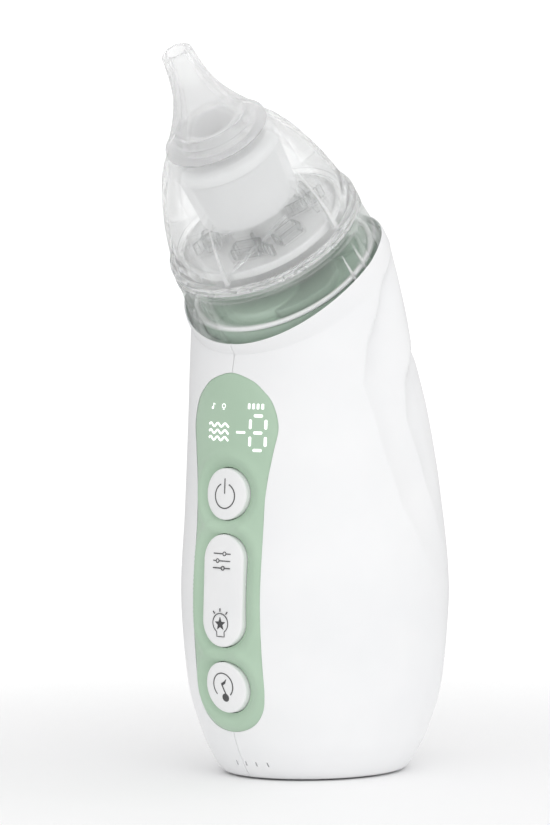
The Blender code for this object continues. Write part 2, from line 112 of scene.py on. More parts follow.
def material(name, dark, light, rough, tint_scale, grain=900.0, grain_depth=0.00002, marks=None, **sockets):
    """A surface whose colour drifts from dark to light, with a roughness that varies and a fine relief.

    The scales are per metre and grain_depth is in metres. sockets sets further inputs of the shader.
    """
    made = bpy.data.materials.new(name)
    made.use_nodes = True
    tree = made.node_tree
    shader = tree.nodes["Principled BSDF"]
    place = node(tree, "ShaderNodeTexCoord").outputs["Object"]
    drift = node(tree, "ShaderNodeTexNoise", {"Vector": place, "Scale": tint_scale, "Detail": 3.0})
    ramp = node(tree, "ShaderNodeValToRGB", {"Fac": drift.outputs["Fac"]})
    ramp.color_ramp.elements[0].position = 0.3
    ramp.color_ramp.elements[1].position = 0.7
    ramp.color_ramp.elements[0].color = (*dark, 1.0)
    ramp.color_ramp.elements[1].color = (*light, 1.0)
    tree.links.new(ramp.outputs["Color"], shader.inputs["Base Color"])
    wear = node(tree, "ShaderNodeTexNoise", {"Vector": place, "Scale": tint_scale * 3.1, "Detail": 5.0})
    spread = node(tree, "ShaderNodeMapRange",
                  {"Value": wear.outputs["Fac"], "To Min": rough[0], "To Max": rough[1]})
    tree.links.new(spread.outputs["Result"], shader.inputs["Roughness"])
    height = surface_height(tree, place, marks, grain)
    bump = node(tree, "ShaderNodeBump", {"Height": height, "Strength": 0.35, "Distance": grain_depth})
    tree.links.new(bump.outputs["Normal"], shader.inputs["Normal"])
    for socket, value in sockets.items():
        shader.inputs[socket.replace("_", " ")].default_value = value
    return made


SATIN = (0.26, 0.38)  # ranges of roughness that several materials share
GLASSY = (0.0, 0.015)
POLISH = {"grain": 60.0, "grain_depth": 0.0000005}  # the slight waviness of a polished clear moulding

WHITE = material("white_shell", (0.86, 0.865, 0.875), (0.90, 0.902, 0.908), (0.26, 0.36), 40.0,
                 Coat_Weight=0.25, Coat_Roughness=0.12)
CAP_WHITE = material("button_white", (0.84, 0.845, 0.85), (0.89, 0.89, 0.895), (0.38, 0.5), 90.0)
SAGE = material("sage_panel", (0.415, 0.565, 0.428), (0.450, 0.600, 0.462), (0.42, 0.56), 70.0, grain=1400.0,
                Sheen_Weight=0.15, Sheen_Roughness=0.5)
INK_GREY = material("icon_grey", (0.055, 0.055, 0.058), (0.085, 0.085, 0.088), (0.5, 0.65), 300.0)
GLOW = material("display_glow", (0.88, 0.90, 0.88), (0.95, 0.96, 0.95), (0.4, 0.5), 300.0,
                Emission_Color=(0.93, 1.0, 0.95, 1.0), Emission_Strength=0.55)
DECK_GREEN = material("deck_green", (0.310, 0.425, 0.335), (0.360, 0.485, 0.385), SATIN, 60.0,
                      Coat_Weight=0.25)
# Painted light: a lighter copy of the deck's green, for some of the petals.
PETAL_PAINTED_LIGHT = material("petal_painted_light", (0.365, 0.490, 0.392), (0.405, 0.535, 0.430), SATIN, 60.0,
                       Coat_Weight=0.25)
# Painted shade: a darker copy of the deck's green, for the other petals.
PETAL_PAINTED_SHADE = material("petal_painted_shade", (0.255, 0.350, 0.275), (0.290, 0.390, 0.310), SATIN, 60.0,
                       Coat_Weight=0.25)
CLEAR = material("clear_plastic", (0.975, 0.982, 0.982), (0.99, 0.993, 0.993), GLASSY, 30.0, **POLISH,
                 Transmission_Weight=0.95, IOR=1.2, Alpha=0.75)
CUP_CLEAR = material("clear_cup_plastic", (0.98, 0.987, 0.986), (0.992, 0.995, 0.995), GLASSY, 30.0, **POLISH,
                     Transmission_Weight=0.9, IOR=1.14, Alpha=0.46)
CLOUDED = material("clouded_plastic", (0.945, 0.95, 0.948), (0.97, 0.973, 0.972), (0.14, 0.24), 45.0,
                   Transmission_Weight=0.12, IOR=1.3, Alpha=0.94)
VANE = material("vane_plastic", (0.965, 0.975, 0.972), (0.985, 0.99, 0.99), (0.01, 0.04), 60.0, **POLISH,
                Transmission_Weight=1.0, IOR=1.36, Alpha=0.8)
# Painted highlight: the ribs are clear plastic, but get a nearly opaque white that stands in for the
# highlights along them.
RIB_PAINTED_HIGHLIGHT = material("rib_painted_highlight", (0.95, 0.955, 0.955), (0.975, 0.98, 0.98), (0.2, 0.3), 60.0,
                     Transmission_Weight=0.2, IOR=1.3)
SEAL = material("clear_seal", (0.93, 0.94, 0.94), (0.97, 0.975, 0.975), (0.22, 0.34), 80.0,
                Transmission_Weight=0.6, IOR=1.3, Alpha=0.75)
WHITE_SEAL = material("white_seal", (0.90, 0.905, 0.905), (0.95, 0.95, 0.95), (0.3, 0.42), 80.0)
FROSTED = material("frosted_duct", (0.935, 0.938, 0.942), (0.96, 0.962, 0.965), (0.36, 0.48), 60.0,
                   Transmission_Weight=0.15, IOR=1.3, Alpha=0.93)
SILICONE = material("soft_silicone", (0.94, 0.943, 0.945), (0.975, 0.977, 0.98), (0.2, 0.3), 50.0,
                    Transmission_Weight=0.68, IOR=1.3, Coat_Weight=0.15, Alpha=0.62)
RUBBER = material("grey_rubber", (0.12, 0.122, 0.122), (0.17, 0.172, 0.172), (0.65, 0.85), 120.0, grain=500.0,
                  grain_depth=0.00006)
STEEL = material("drawn_steel", (0.48, 0.48, 0.49), (0.62, 0.62, 0.63), (0.25, 0.4), 80.0, marks="brushed",
                 Metallic=1.0)
PCB = material("circuit_board", (0.02, 0.13, 0.06), (0.045, 0.22, 0.10), (0.3, 0.5), 240.0, marks="tracks",
               grain_depth=0.00008)
DARK = material("dark_plastic", (0.035, 0.035, 0.038), (0.06, 0.06, 0.063), (0.42, 0.6), 100.0, grain=600.0,
                grain_depth=0.00005)
CELL = material("cell_wrap", (0.035, 0.075, 0.22), (0.055, 0.11, 0.28), (0.22, 0.36), 60.0, Coat_Weight=0.3)
INNER = material("inner_white", (0.66, 0.66, 0.64), (0.76, 0.76, 0.74), (0.45, 0.6), 90.0)
WINDING = material("copper_winding", (0.30, 0.11, 0.045), (0.48, 0.20, 0.09), (0.25, 0.4), 200.0,
                   marks="windings", grain_depth=0.0002, Metallic=0.8)

SLOT_MATERIALS = {
    "white_abs": WHITE, "sage_soft_touch": SAGE, "button_white": CAP_WHITE, "foot_rubber": RUBBER,
    "circuit_board": PCB, "display_white": WHITE_SEAL, "steel": STEEL, "dark_plastic": DARK,
    "plunger_rubber": RUBBER, "battery_wrap": CELL, "inner_white": INNER, "winding": WINDING,
    "soft_sleeve": RUBBER, "hose_silicone": SILICONE, "deck_green": DECK_GREEN, "clear_cup": CLEAR,
    "clear_dome": CLEAR, "seal_silicone": SEAL, "duct_frosted": FROSTED, "nozzle_silicone": SILICONE,
}
for part in frame["record"]["subparts"]:
    obj = frame["nodes"][part["node"]]
    for index in range(len(obj.material_slots)):
        obj.material_slots[index].material = SLOT_MATERIALS[part["material_slot"]]


# ------------------------------------------------------------------ making pieces

def finish_piece(name, bm, finish, body, replaced=(), angle=35, place=None):
    """Turns a bmesh into a visible piece that rides on a CAD body. Edges sharper than angle stay sharp."""
    bmesh.ops.recalc_face_normals(bm, faces=bm.faces)
    mesh = bpy.data.meshes.new(name)
    bm.to_mesh(mesh)
    bm.free()
    obj = bpy.data.objects.new(name, mesh)
    bpy.context.scene.collection.objects.link(obj)
    mesh.materials.append(finish)
    mesh.shade_smooth()
    mesh.set_sharp_from_angle(angle=math.radians(angle))
    if place is not None:
        mesh.transform(place)
    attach(obj, body)
    if replaced:
        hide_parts(*replaced)
    return obj


def spline_points(knots, steps):
    """Points of a smooth Catmull-Rom curve through the knots, which are tuples of numbers."""
    ends = [knots[0], *knots, knots[-1]]
    found = []
    for a, b, c, d in zip(ends, ends[1:], ends[2:], ends[3:]):
        for step in range(steps):
            t = step / steps
            found.append(tuple(
                0.5 * (2 * q + (r - p) * t + (2 * p - 5 * q + 4 * r - s) * t * t
                       + (3 * q - p - 3 * r + s) * t ** 3)
                for p, q, r, s in zip(a, b, c, d)))
    return [*found, tuple(knots[-1])]


def smooth_loop(*runs, steps=4):
    """One closed profile from runs of knots: smooth along each run, with a corner between runs."""
    points = []
    for run in runs:
        points += spline_points(run, steps) if len(run) > 2 else list(run)
    return points


SOFTENED_PAST = math.radians(38)


def spun(name, profile, finish, body, replaced=(), steps=144, soften=0.18, angle=35):
    """A closed (radius, height) profile, spun about the head's axis. Its edges are bevelled by soften."""
    bm = bmesh.new()
    count = len(profile)
    rows = []
    for turn in range(steps):
        phi = 2 * math.pi * turn / steps
        c, s = math.cos(phi), math.sin(phi)
        rows.append([bm.verts.new(Vector((r * c, r * s, h)) * MM) for r, h in profile])
    for turn in range(steps):
        here, there = rows[turn], rows[(turn + 1) % steps]
        for i in range(count):
            j = (i + 1) % count
            bm.faces.new((here[i], here[j], there[j], there[i]))
    bmesh.ops.recalc_face_normals(bm, faces=bm.faces)
    if soften:
        sharp = [e for e in bm.edges if len(e.link_faces) == 2 and e.calc_face_angle() > SOFTENED_PAST]
        bmesh.ops.bevel(bm, geom=sharp, offset=soften * MM, segments=2, profile=0.5, affect="EDGES",
                        clamp_overlap=True)
    return finish_piece(name, bm, finish, body, replaced, angle, HEAD)


def add_boolean(obj, cutter, operation="DIFFERENCE"):
    """Applies a Boolean straight away and removes its cutter."""
    modifier = obj.modifiers.new("cut", "BOOLEAN")
    modifier.object = cutter
    modifier.operation = operation
    modifier.solver = "EXACT"
    bpy.context.view_layer.update()
    graph = bpy.context.evaluated_depsgraph_get()
    mesh = bpy.data.meshes.new_from_object(obj.evaluated_get(graph))
    obj.modifiers.clear()
    obj.data = mesh
    bpy.data.objects.remove(cutter)


def cutter_from(bm):
    """A helper object for a Boolean, which add_boolean removes."""
    bmesh.ops.recalc_face_normals(bm, faces=bm.faces)
    mesh = bpy.data.meshes.new("cutter")
    bm.to_mesh(mesh)
    bm.free()
    obj = bpy.data.objects.new("cutter", mesh)
    bpy.context.scene.collection.objects.link(obj)
    return obj


def add_prism(bm, outline, low, high):
    """Adds an outline of (x, z) points, pushed along Y from low to high."""
    near = [bm.verts.new(Vector((x, low, z)) * MM) for x, z in outline]
    far = [bm.verts.new(Vector((x, high, z)) * MM) for x, z in outline]
    count = len(outline)
    for i in range(count):
        j = (i + 1) % count
        bm.faces.new((near[i], near[j], far[j], far[i]))
    bm.faces.new(near)
    bm.faces.new(far[::-1])


def pill(half_width, half_height, centre_z, sides=64, inset=0.0):
    """Points of an upright pill in XZ, moved in by inset."""
    straight = half_height - half_width
    radius = half_width - inset
    points = []
    for i in range(sides):
        angle = 2 * math.pi * (i + 0.5) / sides
        z = radius * math.sin(angle) + math.copysign(straight, math.sin(angle))
        points.append((radius * math.cos(angle), centre_z + z))
    return points


def panel_outline(grow, steps=8):
    """The panel's closed outline in XZ, moved out by grow, with steps points between two knots."""
    right = [((x + grow) if x else 0.0, z) for x, z in PANEL]
    right[0] = (0.0, right[0][1] - grow)
    right[-1] = (0.0, right[-1][1] + grow)
    mirrored = [(-x, z) for x, z in reversed(right[1:-1])]
    around = spline_points([mirrored[-1], *right, mirrored[0]], steps)[steps:-steps]
    return around + [(-x, z) for x, z in reversed(around[1:-1])]


# ------------------------------------------------------------------ the housing's surface

# Creases on each side of the back: (station, angle from the front in degrees) along the crest, and depth.
CREASES = [
    ([(9.0, 98.0), (8.7, 92.5), (8.18, 77.0), (7.62, 72.0), (6.78, 77.0), (6.1, 84.0), (5.5, 96.0),
      (4.9, 112.0)], 2.2),
    ([(9.0, 152.0), (7.8, 122.0), (7.38, 104.0), (6.9, 101.0), (6.25, 108.0), (5.6, 118.0),
      (5.1, 132.0)], 1.8),
]
CREASE_RISE, CREASE_FADE = 15.0, 30.0  # degrees over which a crease reaches its depth, and then runs out
CREASE_SMOOTH = 0.35  # how much of the crest's line is eased at each knot
CREASE_START, CREASE_END = 0.35, 1.2  # stations over which a crease begins at the rim and ends lower down
RIM = 9.0


def crease_angle(knots, station):
    """The crease's angle at a station, or None past its ends."""
    if not knots[-1][0] <= station <= knots[0][0]:
        return None
    for (high, a), (low, b) in zip(knots, knots[1:]):
        if low <= station <= high:
            share = (high - station) / (high - low)
            eased = share * share * (3 - 2 * share)
            return a + (b - a) * (eased * CREASE_SMOOTH + share * (1 - CREASE_SMOOTH))
    return knots[-1][1]


def crease_depth(station, degrees):
    """How far the side is scooped in behind its creases."""
    degrees = abs(degrees)
    depth = 0.0
    for knots, size in CREASES:
        crest = crease_angle(knots, station)
        if crest is None:
            continue
        past = degrees - crest
        above, below = station - knots[-1][0], RIM + 0.05 - station
        ends = max(min(above / CREASE_END, below / CREASE_START, 1.0), 0.0)
        if past > 0.0:
            rise = 1.0 - (1.0 - min(past / CREASE_RISE, 1.0)) ** 2
            fade = 1.0 - min(max(past - CREASE_RISE, 0.0) / CREASE_FADE, 1.0)
            depth += size * ends * rise * fade * fade * (3 - 2 * fade)
    return depth


def housing_point(station, values, degrees, grow=0.0):
    """A point of the housing on the station's oval, at an angle from its front."""
    front_y, front_z, back_y, back_z, half_width = values
    front = Vector((0.0, front_y, front_z))
    back = Vector((0.0, back_y, back_z))
    along = (back - front).normalized()
    grow -= crease_depth(station, degrees)
    half_depth = (back - front).length / 2 + grow
    angle = math.radians(degrees)
    aside = Vector(((half_width + grow) * math.sin(angle), 0, 0))
    return (front + back) / 2 + aside - along * half_depth * math.cos(angle)


ROWS_PER_STATION = 14
ROWS = spline_points(STATIONS, ROWS_PER_STATION)
ROW_STATIONS = [i / ROWS_PER_STATION for i in range(len(ROWS))]
# The recess under the foot, which holds its pad: share of the lowest oval, and height.
FOOT = [(0.815, 1.32), (0.93, 1.32), (0.945, 0.35), (0.975, 0.3)]
# The rim's rounding into the lip: outward growth, and rise along the head's axis.
LIP = [(0.0, 0.8), (-0.01, 1.5), (-0.05, 2.2), (-0.16, 2.62), (-0.36, 2.82), (-0.54, 2.66), (-0.64, 2.3),
       (-0.68, 1.5), (-0.74, 1.0), (-1.0, 0.9), (-2.4, 0.88), (-2.9, 0.7), (-3.05, 0.3), (-3.05, -4.0)]
LIP_WALL = 0.12  # the lip's thickness as a share of the wall's
LIP_LEDGE, LIP_COLLAR = 0.9, 1.6  # rise of the ledge, which stays level, and height of the collar above it
LIP_WAVE = 3.0  # how much higher the collar stands at the sides than at the front and back
UP = HEAD.to_3x3() @ Vector((0.0, 0.0, 1.0))


def housing_rows(angles):
    """Rows of points from the foot's recess to just inside the lip, with one point for each angle."""
    lowest = [housing_point(0.0, ROWS[0], a) for a in angles]
    rows = [[Vector((p.x * share, p.y * share, z)) for p in lowest] for share, z in FOOT]
    for station, values in zip(ROW_STATIONS, ROWS):
        rows.append([housing_point(station, values, a) for a in angles])
    for grow, rise in LIP:
        share = min(max((rise - LIP_LEDGE) / LIP_COLLAR, 0.0), 1.0)
        rows.append([housing_point(RIM, ROWS[-1], a, grow)
                     + UP * (rise + LIP_WAVE * share * math.sin(math.radians(a)) ** 2) for a in angles])
    return rows


def surface_tree():
    """The housing's outer surface without cuts, for finding its y."""
    angles = [a * 2.0 for a in range(181)]
    points = [[housing_point(s, v, a) * MM for a in angles] for s, v in zip(ROW_STATIONS, ROWS)]
    wide = len(angles)
    faces = [(r * wide + c, r * wide + c + 1, (r + 1) * wide + c + 1, (r + 1) * wide + c)
             for r in range(len(points) - 1) for c in range(wide - 1)]
    return BVHTree.FromPolygons([p for row in points for p in row], faces)


SURFACE = surface_tree()
OFF_SEAM = 0.004  # keeps a ray at x = 0 off the edge that runs down the middle
IN_FRONT = -80.0  # a y in front of the whole object, where the rays start


def surface_y(x, z):
    """y of the housing's front at (x, z)."""
    hit = SURFACE.ray_cast(Vector((x + OFF_SEAM, IN_FRONT, z)) * MM, Vector((0.0, 1.0, 0.0)))[0]
    return hit.y / MM


# The groove along the seam: distance from the middle, and depth.
SEAM = [(0.045, 0.2), (0.12, 0.05), (0.3, 0.0)]
SEAM_RADIUS = 27.0  # about half the housing's width: it turns a distance into an angle
ARC_STEPS = 200
WALL = 1.5
WINDOW_GAP = 0.03
SOUND_SLOTS_X, SOUND_SLOT_Z = (-2.0, 0.85, 3.7, 6.6), 4.1
PORT_Z, PORT_HALF_WIDTH, PORT_HALF_HEIGHT = 12.0, 5.5, 2.2


def add_openings(bm):
    """Cutters for the panel's window, the sound slots and the charging port."""
    add_prism(bm, panel_outline(WINDOW_GAP), -60, -22)
    for slot_x in SOUND_SLOTS_X:
        add_prism(bm, [(x + slot_x, z) for x, z in pill(0.2, 0.6, SOUND_SLOT_Z, 20)], -45, -19)
    upright = pill(PORT_HALF_HEIGHT, PORT_HALF_WIDTH, 0.0, 40)
    add_prism(bm, [(z, x + PORT_Z) for x, z in upright], 24, 60)


def make_shell(side, name, node_name):
    """One half of the housing, with a small groove along the seam and the openings cut out."""
    seam = [math.degrees(math.asin(x / SEAM_RADIUS)) for x, _ in SEAM]
    arc_angles = [seam[-1] + (180.0 - 2 * seam[-1]) * i / ARC_STEPS for i in range(ARC_STEPS + 1)]
    angles = seam[:-1] + arc_angles + [180.0 - a for a in reversed(seam[:-1])]
    groove = [depth for _, depth in SEAM[:-1]]
    depths = groove + [0.0] * len(arc_angles) + groove[::-1]
    rows = housing_rows([side * a for a in angles])
    bm = bmesh.new()
    made = []
    for row in rows:
        centre = (row[0] + row[-1]) / 2
        made.append([bm.verts.new((p - (p - centre).normalized() * d) * MM) for p, d in zip(row, depths)])
    for low, high in zip(made, made[1:]):
        for i in range(len(low) - 1):
            bm.faces.new((low[i], low[i + 1], high[i + 1], high[i]))
    shell = finish_piece(name, bm, WHITE, "housing", (node_name,), 30)
    outward = sum(face.normal.x * face.area for face in shell.data.polygons)
    if outward * side < 0:
        shell.data.flip_normals()
    thick = shell.vertex_groups.new(name="thick")
    lip_start = len(angles) * (len(rows) - len(LIP))
    thick.add(list(range(lip_start)), 1.0, "REPLACE")
    thick.add(list(range(lip_start, len(angles) * len(rows))), LIP_WALL, "REPLACE")
    solid = shell.modifiers.new("wall", "SOLIDIFY")
    solid.vertex_group = "thick"
    solid.thickness = WALL * MM
    solid.offset = -1.0
    openings = bmesh.new()
    add_openings(openings)
    add_boolean(shell, cutter_from(openings))
    shell.data.set_sharp_from_angle(angle=math.radians(30))


make_shell(-1, "shell_left_skin", "shell_left")
make_shell(1, "shell_right_skin", "shell_right")


# ------------------------------------------------------------------ control panel and buttons

def pill_distance(x, z, half_width, half_height, centre):
    """Distance of (x, z) outside a pill's outline, negative inside."""
    straight = half_height - half_width
    dz = max(abs(z - centre) - straight, 0.0)
    return math.hypot(x, dz) - half_width


def bell(value, width):
    """1 where value is 0, falling to nothing within a few widths."""
    return math.exp(-(value / width) ** 2)


# Round each button the panel rises in a soft collar, some way from the cap, and dips at the cap.
COLLAR, COLLAR_WIDTH, COLLAR_AT = 0.6, 1.2, 3.2
DIP, DIP_WIDTH = 1.25, 1.5


def panel_relief(x, z):
    """How far the collars and dips move the panel out at (x, z)."""
    height = 0.0
    for centre, half in BUTTONS.values():
        gap = pill_distance(x, z, BUTTON_R, half, centre)
        height += COLLAR * bell(gap - COLLAR_AT, COLLAR_WIDTH) - DIP * bell(gap, DIP_WIDTH)
    return height


def panel_y(x, z):
    """y of the panel's face at (x, z)."""
    return surface_y(x, z) - PANEL_PROUD - panel_relief(x, z)


PANEL_THICK = 2.0
GRID = 0.5
GRID_X, GRID_Z = 27, (20, 197)  # the grid's ends, counted in its cells from the origin
CAP_GAP = 0.22
EDGE_DROP, EDGE_WIDTH = 0.34, 0.45  # the rounding along the panel's edge
NO_EDGE_X, NO_EDGE_Z = 7.0, (16.0, 91.0)  # the part of the panel that is nowhere near its edge


def make_panel():
    """The panel as a fine grid cut to its outline, with a thickness and a rounded edge."""
    bm = bmesh.new()
    flat_y = -40.0
    low, high = GRID_Z
    grid = {(i, j): bm.verts.new(Vector((i * GRID, flat_y, j * GRID)) * MM)
            for i in range(-GRID_X, GRID_X + 1) for j in range(low, high + 1)}
    for i in range(-GRID_X, GRID_X):
        for j in range(low, high):
            bm.faces.new((grid[i, j], grid[i + 1, j], grid[i + 1, j + 1], grid[i, j + 1]))
    made = bmesh.ops.extrude_face_region(bm, geom=list(bm.faces))["geom"]
    extruded = [item for item in made if isinstance(item, bmesh.types.BMVert)]
    bmesh.ops.translate(bm, vec=(0, PANEL_THICK * MM, 0), verts=extruded)
    panel = finish_piece("panel_skin", bm, SAGE, "housing", ("control_panel",), 50)
    keep = bmesh.new()
    add_prism(keep, panel_outline(0.0, 10), -50, -30)
    add_boolean(panel, cutter_from(keep), "INTERSECT")
    holes = bmesh.new()
    for centre, half in BUTTONS.values():
        add_prism(holes, pill(BUTTON_R + CAP_GAP, half + CAP_GAP, centre), -50, -30)
    add_boolean(panel, cutter_from(holes))
    edge = [Vector((x, 0.0, z)) for x, z in panel_outline(0.0, 40)]
    for vert in panel.data.vertices:
        x, z = vert.co.x / MM, vert.co.z / MM
        if vert.co.y / MM > flat_y + PANEL_THICK / 2:
            vert.co.y = (surface_y(x, z) + PANEL_THICK) * MM
            continue
        drop = 0.0
        if abs(x) > NO_EDGE_X or not NO_EDGE_Z[0] <= z <= NO_EDGE_Z[1]:
            point = Vector((x, 0.0, z))
            drop = EDGE_DROP * bell(min((point - e).length for e in edge), EDGE_WIDTH)
        vert.co.y = (panel_y(x, z) + drop) * MM
    panel.data.shade_smooth()
    panel.data.set_sharp_from_angle(angle=math.radians(50))


make_panel()

# A cap's rounded edge, from its foot to its face: inset, and rise towards the front.
CAP_EDGE = [(0.0, -2.2), (0.0, -0.4), (0.04, -0.24), (0.12, -0.12), (0.26, -0.04), (0.45, 0.0)]
FACE_RINGS = 9


def cap_y(x, z):
    """y of a cap's face at (x, z)."""
    return surface_y(x, z) - CAP_PROUD


def make_cap(name):
    """A button cap: a rounded edge, and a face that follows the housing."""
    centre, half = BUTTONS[name]
    sides = 96
    face = [(0.5 + (BUTTON_R - 0.6) * i / FACE_RINGS, 0.0) for i in range(1, FACE_RINGS + 1)]
    bm = bmesh.new()
    made = []
    for inset, rise in CAP_EDGE + face:
        outline = pill(BUTTON_R, half, centre, sides, inset)
        made.append([bm.verts.new(Vector((x, cap_y(x, z) - rise, z)) * MM) for x, z in outline])
    for outer, inner in zip(made, made[1:]):
        for i in range(sides):
            j = (i + 1) % sides
            bm.faces.new((outer[i], outer[j], inner[j], inner[i]))
    bm.faces.new(made[-1])
    bm.faces.new(made[0][::-1])
    finish_piece(f"button_{name}_skin", bm, CAP_WHITE, BUTTON_BODY[name],
                 (f"button_{name}",), 50)


for button in BUTTONS:
    make_cap(button)


# ------------------------------------------------------------------ printed icons and the display

def resampled(points, step):
    """The same line with a point at least every step."""
    found = [points[0]]
    for (ax, az), (bx, bz) in zip(points, points[1:]):
        parts = max(1, math.ceil(math.hypot(bx - ax, bz - az) / step))
        for i in range(1, parts + 1):
            found.append((ax + (bx - ax) * i / parts, az + (bz - az) * i / parts))
    return found


def add_patch(bm, outline, height_y):
    """A thin closed patch on a surface, over an outline of (x, z) points."""
    outer = [bm.verts.new(Vector((x, height_y(x, z) - INK, z)) * MM) for x, z in outline]
    inner = [bm.verts.new(Vector((x, height_y(x, z) + INK, z)) * MM) for x, z in outline]
    count = len(outline)
    for i in range(count):
        j = (i + 1) % count
        bm.faces.new((outer[i], outer[j], inner[j], inner[i]))
    cx, cz = (sum(p[k] for p in outline) / count for k in (0, 1))
    for corners, lift in ((outer, -INK), (inner[::-1], INK)):
        middle = bm.verts.new(Vector((cx, height_y(cx, cz) + lift, cz)) * MM)
        for i in range(count):
            bm.faces.new((corners[i], corners[(i + 1) % count], middle))


STROKE_STEP = 0.45


def add_stroke(bm, points, width, height_y, closed=False):
    """A thin raised line along (x, z) points."""
    points = resampled(points, STROKE_STEP)
    if closed and points[0] == points[-1]:
        points = points[:-1]
    count = len(points)
    rows = []
    for i, (x, z) in enumerate(points):
        a = points[i - 1] if (i or closed) else points[i]
        b = points[(i + 1) % count] if (i < count - 1 or closed) else points[i]
        length = math.hypot(b[0] - a[0], b[1] - a[1]) or 1.0
        nx, nz = -(b[1] - a[1]) / length * width / 2, (b[0] - a[0]) / length * width / 2
        row = []
        for sign, lift in ((1, -INK), (-1, -INK), (-1, INK), (1, INK)):
            px, pz = x + sign * nx, z + sign * nz
            row.append(bm.verts.new(Vector((px, height_y(px, pz) + lift, pz)) * MM))
        rows.append(row)
    last = count if closed else count - 1
    for i in range(last):
        here, there = rows[i], rows[(i + 1) % count]
        for k in range(4):
            bm.faces.new((here[k], here[(k + 1) % 4], there[(k + 1) % 4], there[k]))
    if not closed:
        bm.faces.new(rows[0])
        bm.faces.new(rows[-1][::-1])


def arc(cx, cz, radius, start, end, sides=28):
    """Points round an arc, in degrees counted from +X towards +Z."""
    angles = [math.radians(start + (end - start) * i / sides) for i in range(sides + 1)]
    return [(cx + radius * math.cos(a), cz + radius * math.sin(a)) for a in angles]


def ring(cx, cz, radius, sides=28):
    """Points round a whole circle."""
    return arc(cx, cz, radius, 0, 360 - 360 / sides, sides - 1)


def bar(cx, cz, half_x, half_z, corner, sides=4):
    """A rounded bar's outline."""
    points = []
    for sx, sz, start in ((1, 1, 0), (-1, 1, 90), (-1, -1, 180), (1, -1, 270)):
        x, z = cx + sx * (half_x - corner), cz + sz * (half_z - corner)
        points += arc(x, z, corner, start, start + 90, sides)
    return points


BOLD, LINE, FINE = 0.3, 0.26, 0.2  # widths of the strokes
ICON_ARC_R = 2.95


def make_power_icon():
    """An open circle with an upright bar."""
    bm = bmesh.new()
    add_stroke(bm, arc(0, POWER_Z - 0.4, ICON_ARC_R, 114, 426, 40), LINE, cap_y)
    add_stroke(bm, [(0.0, POWER_Z + 0.1), (0.0, POWER_Z + 3.7)], LINE, cap_y)
    finish_piece("icon_power", bm, INK_GREY, "power_button")


SLIDERS = ((54.5, 0.8), (52.8, -1.2), (51.1, 0.5))  # z of each slider, and x of its knob
SLIDER_HALF, SLIDER_LINE = 2.6, 0.24
KNOB_R, KNOB_GAP = 0.45, 0.5
BULB_Z, BULB_R = 38.1, 2.3
BULB_NECK_X, BULB_NECK_Z = 1.15, (BULB_Z - 2.1, BULB_Z - 3.2)
STAR_Z, STAR_R = BULB_Z - 0.2, (1.65, 0.72)
RAY_R = (2.75, 3.5)


def make_rocker_icons():
    """Three sliders for the mode, and a bulb with a star and rays for the light."""
    bm = bmesh.new()
    for z, knob in SLIDERS:
        add_stroke(bm, [(-SLIDER_HALF, z), (knob - KNOB_GAP, z)], SLIDER_LINE, cap_y)
        add_stroke(bm, [(knob + KNOB_GAP, z), (SLIDER_HALF, z)], SLIDER_LINE, cap_y)
        add_stroke(bm, ring(knob, z, KNOB_R, 16), FINE, cap_y, closed=True)
    neck, foot = BULB_NECK_Z
    bulb = [(-BULB_NECK_X, foot), (-BULB_NECK_X, neck), *arc(0, BULB_Z, BULB_R, 234, -54, 36),
            (BULB_NECK_X, neck), (BULB_NECK_X, foot), (-BULB_NECK_X, foot)]
    add_stroke(bm, bulb, FINE, cap_y, closed=True)
    star = []
    for i in range(10):
        angle = math.radians(90 + 36 * i)
        radius = STAR_R[i % 2]
        star.append((radius * math.cos(angle), STAR_Z + radius * math.sin(angle)))
    add_patch(bm, star, cap_y)
    for degrees in (52, 90, 128):
        c, s = math.cos(math.radians(degrees)), math.sin(math.radians(degrees))
        add_stroke(bm, [(r * c, BULB_Z + r * s) for r in RAY_R], FINE, cap_y)
    finish_piece("icon_mode_and_light", bm, INK_GREY, "rocker_button")


def make_music_icon():
    """A note in an open circle."""
    z = MUSIC_Z
    bm = bmesh.new()
    add_stroke(bm, arc(-0.3, z + 0.5, ICON_ARC_R, 227, -47, 36), LINE, cap_y)
    add_patch(bm, ring(0.2, z - 2.4, 0.98, 24), cap_y)
    add_stroke(bm, [(0.6, z - 2.0), (-0.6, z + 0.8)], BOLD, cap_y)
    add_patch(bm, [(-0.8, z + 1.0), (-0.4, z + 0.45), (0.5, z + 1.0), (0.9, z + 2.1), (0.2, z + 1.5)], cap_y)
    finish_piece("icon_music", bm, INK_GREY, "music_button")


# The display's signs: the digit's level bars and upright bars, then each sign's place.
DIGIT_X, DIGIT_BARS_Z = 8.3, (87.2, 83.2, 79.1)
DIGIT_SIDES_X, DIGIT_SIDES_Z = (6.4, 10.15), (85.2, 81.15)
DASH_X, DASH_Z = 3.9, 83.2
BATTERY_X, BATTERY_STEP, BATTERY_Z = 5.9, 1.12, 89.4
WAVES_X, WAVES_Z = -6.2, (84.7, 83.1, 81.5)
WAVE_STEP, WAVE_TURN, WAVE_HEIGHT = 0.35, math.radians(52), 0.42
LAMP_X, LAMP_Z = -1.4, 89.2
NOTE_X, NOTE_Z = -5.2, 88.6


